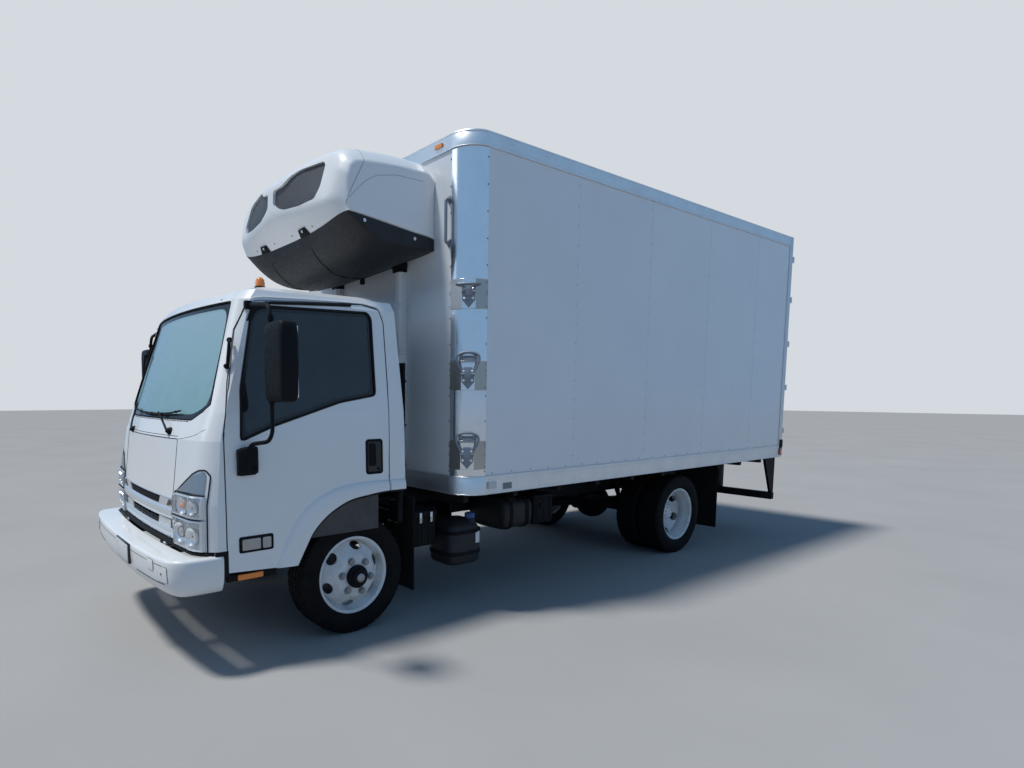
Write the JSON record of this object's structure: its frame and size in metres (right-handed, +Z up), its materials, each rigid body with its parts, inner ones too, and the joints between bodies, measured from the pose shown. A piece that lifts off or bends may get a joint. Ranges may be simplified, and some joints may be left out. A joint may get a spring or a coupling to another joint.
{
  "type": "refrigerated box truck",
  "caption": "Low cab-over truck with a tilting cab, an insulated box body, a nose-mounted cooling unit, swing rear doors and twin rear wheels.",
  "frame": {"origin": "on the ground at the middle of the overall length and width", "axes": "+Z up, -Y is the direction of travel, +X is the driver's (left) side"},
  "size_m": [2.84, 7.074, 3.3919],
  "materials": {
    "tyre": "moulded rubber",
    "wheel_paint": "satin white",
    "chassis_black": "semi-gloss black",
    "cast_block": "as cast",
    "black_plastic": "fine grain",
    "exhaust_steel": "heat stained",
    "cab_paint": "gloss white",
    "grille_paint": "gloss white and silver",
    "lamp_lens": "clear lens",
    "cab_glass": "green tint",
    "marker_lens": "amber and red lens",
    "tail_lens": "red lens",
    "cab_trim": "grained",
    "seat_cloth": "woven",
    "panel_white": "smooth white panel",
    "floor_metal": "duct floor",
    "bare_aluminium": "bright mill",
    "cast_step": "dark cast steps and rail",
    "stainless": "brushed",
    "unit_white": "gloss white moulding"
  },
  "bodies": {
    "chassis": {"air_intake": "black_plastic", "battery_box": "black_plastic", "body_rails": "bare_aluminium", "box_floor": "floor_metal", "box_front_wall": "panel_white", "box_lamps": "marker_lens", "box_roof": "panel_white", "box_sills": "chassis_black", "box_wall_left": "panel_white", "box_wall_right": "panel_white", "bumper": "cab_paint", "cooling_base": "black_plastic", "cooling_cover": "unit_white", "cooling_grilles": "black_plastic", "corner_posts": "bare_aluminium", "driveshaft": "chassis_black", "engine_block": "cast_block", "evaporator": "unit_white", "folding_steps": "cast_step", "frame_rails": "chassis_black", "front_axle": "chassis_black", "leaf_springs": "chassis_black", "mudguards": "black_plastic", "muffler": "exhaust_steel", "rear_axle": "chassis_black", "rear_frame": "stainless", "side_tanks": "black_plastic", "tail_lamps": "tail_lens", "underride_guard": "chassis_black", "unit_conduits": "unit_white"},
    "cab": {"arch_liners": "black_plastic", "cab_glass": "cab_glass", "cab_lamps": "marker_lens", "cab_shell": "cab_paint", "dashboard": "cab_trim", "front_panel": "cab_paint", "grille": "grille_paint", "headlamps": "lamp_lens", "seats": "seat_cloth", "steering_wheel": "cab_trim"},
    "cab_door_left": {"door_left": "cab_paint", "door_glass_left": "cab_glass", "mirror_left": "black_plastic"},
    "steer_left": {"knuckle_left": "chassis_black"},
    "wheel_front_left": {"front_tyre_left": "tyre", "front_wheel_left": "wheel_paint"},
    "wheels_rear_left": {"rear_tyres_left": "tyre", "rear_wheels_left": "wheel_paint"},
    "rear_door_left": {"cargo_door_left": "panel_white"},
    "cab_door_right": {"door_right": "cab_paint", "door_glass_right": "cab_glass", "mirror_right": "black_plastic"},
    "steer_right": {"knuckle_right": "chassis_black"},
    "wheel_front_right": {"front_tyre_right": "tyre", "front_wheel_right": "wheel_paint"},
    "wheels_rear_right": {"rear_tyres_right": "tyre", "rear_wheels_right": "wheel_paint"},
    "rear_door_right": {"cargo_door_right": "panel_white"}
  },
  "joints": [
    {"name": "cab_tilt", "type": "hinge", "parent": "chassis", "child": "cab", "pos_m": [0, -3.297, 0.685], "axis": [1, 0, 0], "range_deg": [0, 45]},
    {"name": "door_hinge_left", "type": "hinge", "parent": "cab", "child": "cab_door_left", "pos_m": [0.99, -3.045, 1], "axis": [0, 0, -1], "range_deg": [0, 70]},
    {"name": "steering_left", "type": "hinge", "parent": "chassis", "child": "steer_left", "pos_m": [0.7, -2.222, 0.4], "axis": [0, 0, 1], "range_deg": [-35, 35]},
    {"name": "front_wheel_spin_left", "type": "hinge", "parent": "steer_left", "child": "wheel_front_left", "pos_m": [0.833, -2.222, 0.4], "axis": [1, 0, 0], "continuous": true},
    {"name": "rear_wheel_spin_left", "type": "hinge", "parent": "chassis", "child": "wheels_rear_left", "pos_m": [0.825, 1.588, 0.4], "axis": [1, 0, 0], "continuous": true},
    {"name": "cargo_hinge_left", "type": "hinge", "parent": "chassis", "child": "rear_door_left", "pos_m": [1.207, 3.525, 2.1], "axis": [0, 0, -1], "range_deg": [0, 270]},
    {"name": "door_hinge_right", "type": "hinge", "parent": "cab", "child": "cab_door_right", "pos_m": [-0.99, -3.045, 1], "axis": [0, 0, 1], "range_deg": [0, 70]},
    {"name": "steering_right", "type": "hinge", "parent": "chassis", "child": "steer_right", "pos_m": [-0.7, -2.222, 0.4], "axis": [0, 0, 1], "range_deg": [-35, 35]},
    {"name": "front_wheel_spin_right", "type": "hinge", "parent": "steer_right", "child": "wheel_front_right", "pos_m": [-0.833, -2.222, 0.4], "axis": [1, 0, 0], "continuous": true},
    {"name": "rear_wheel_spin_right", "type": "hinge", "parent": "chassis", "child": "wheels_rear_right", "pos_m": [-0.825, 1.588, 0.4], "axis": [1, 0, 0], "continuous": true},
    {"name": "cargo_hinge_right", "type": "hinge", "parent": "chassis", "child": "rear_door_right", "pos_m": [-1.207, 3.525, 2.1], "axis": [0, 0, 1], "range_deg": [0, 270]}
  ],
  "couplings": [
    {"joint": "steering_right", "follows": "steering_left", "ratio": 1}
  ]
}
